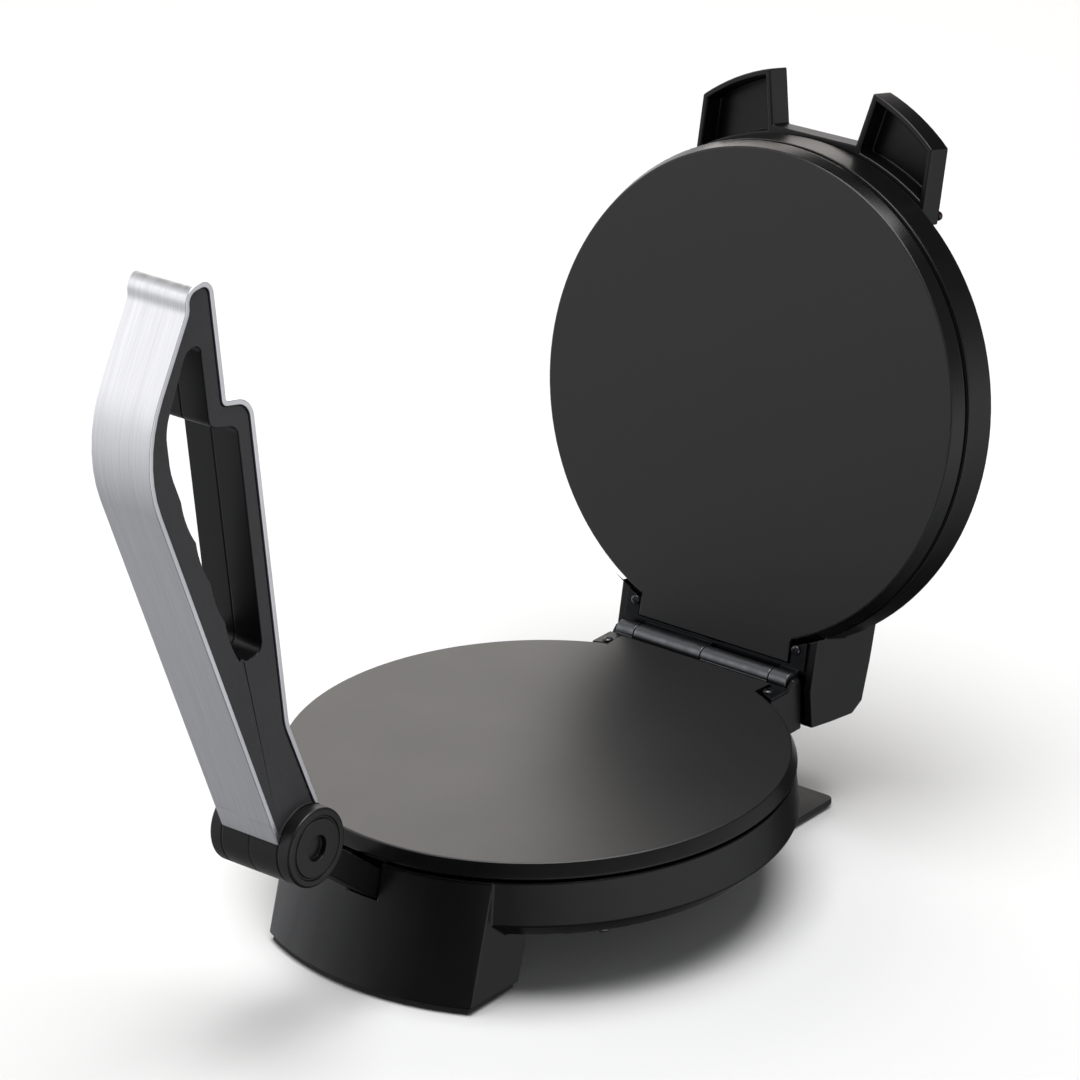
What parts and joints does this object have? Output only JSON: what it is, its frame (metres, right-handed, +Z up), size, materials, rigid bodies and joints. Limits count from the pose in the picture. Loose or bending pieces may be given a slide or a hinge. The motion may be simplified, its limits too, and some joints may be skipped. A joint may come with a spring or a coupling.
{
  "type": "electric flatbread maker",
  "caption": "Countertop flatbread press with round hot plates, a hinged lid and a front lever handle that swings over to press the lid, shown open.",
  "frame": {"origin": "centre of the bounding box's base, on the table the feet stand on, with the lid open and the lever parked", "axes": "+Z up from the table, +Y from the lever handle towards the lid hinge, +X to the right seen from the handle"},
  "size_m": [0.2084, 0.4224, 0.316],
  "materials": {
    "black_plastic": "satin black moulded plastic",
    "cap_plastic": "matte black moulded plastic",
    "handle_insert": "fine textured charcoal plastic",
    "plate_coating": "grey non-stick coating on cast aluminium",
    "band_metal": "brushed silver",
    "hinge_steel": "dark oiled steel",
    "screw_steel": "zinc plated",
    "heater_sheath": "dull steel tube",
    "shield_tin": "plain sheet",
    "ceramic": "unglazed insulator",
    "foot_rubber": "matte",
    "lens_red": "clear red lamp lens",
    "lens_green": "clear green lamp lens"
  },
  "bodies": {
    "base": {"base_housing": "black_plastic", "base_cover": "black_plastic", "base_cover_screws": "screw_steel", "lower_plate": "plate_coating", "lower_plate_screws": "screw_steel", "lower_heating_element": "heater_sheath", "lower_heat_shield": "shield_tin", "lower_thermostat": "ceramic", "thermal_fuse": "screw_steel", "terminal_block": "ceramic", "cord_gland": "foot_rubber", "front_foot_pad": "foot_rubber", "rear_foot_plate": "black_plastic", "rear_foot_screws": "screw_steel", "rear_foot_pads": "foot_rubber", "lower_hinge_leaf": "hinge_steel", "lower_hinge_screws": "screw_steel", "hinge_pin": "hinge_steel", "pivot_bracket": "black_plastic", "pivot_bracket_screws": "screw_steel", "handle_axle": "screw_steel", "axle_clips": "screw_steel"},
    "lid": {"lid_housing": "black_plastic", "upper_plate": "plate_coating", "upper_plate_screws": "screw_steel", "upper_heating_element": "heater_sheath", "upper_heat_shield": "shield_tin", "upper_thermostat": "ceramic", "upper_hinge_leaf": "hinge_steel", "upper_hinge_screws": "screw_steel", "power_lens": "lens_red", "ready_lens": "lens_green"},
    "handle": {"handle_band": "band_metal", "handle_left_shell": "handle_insert", "handle_right_shell": "handle_insert", "handle_screws": "screw_steel", "left_pivot_cap": "cap_plastic", "right_pivot_cap": "cap_plastic"}
  },
  "joints": [
    {"name": "lid_hinge", "type": "hinge", "parent": "base", "child": "lid", "pos_m": [0, 0.1235, 0.05765], "axis": [1, 0, 0], "range_deg": [0, 102.4]},
    {"name": "handle_swing", "type": "hinge", "parent": "base", "child": "handle", "pos_m": [0, -0.1374, 0.0811], "axis": [-1, 0, 0], "range_deg": [0, 77]}
  ]
}
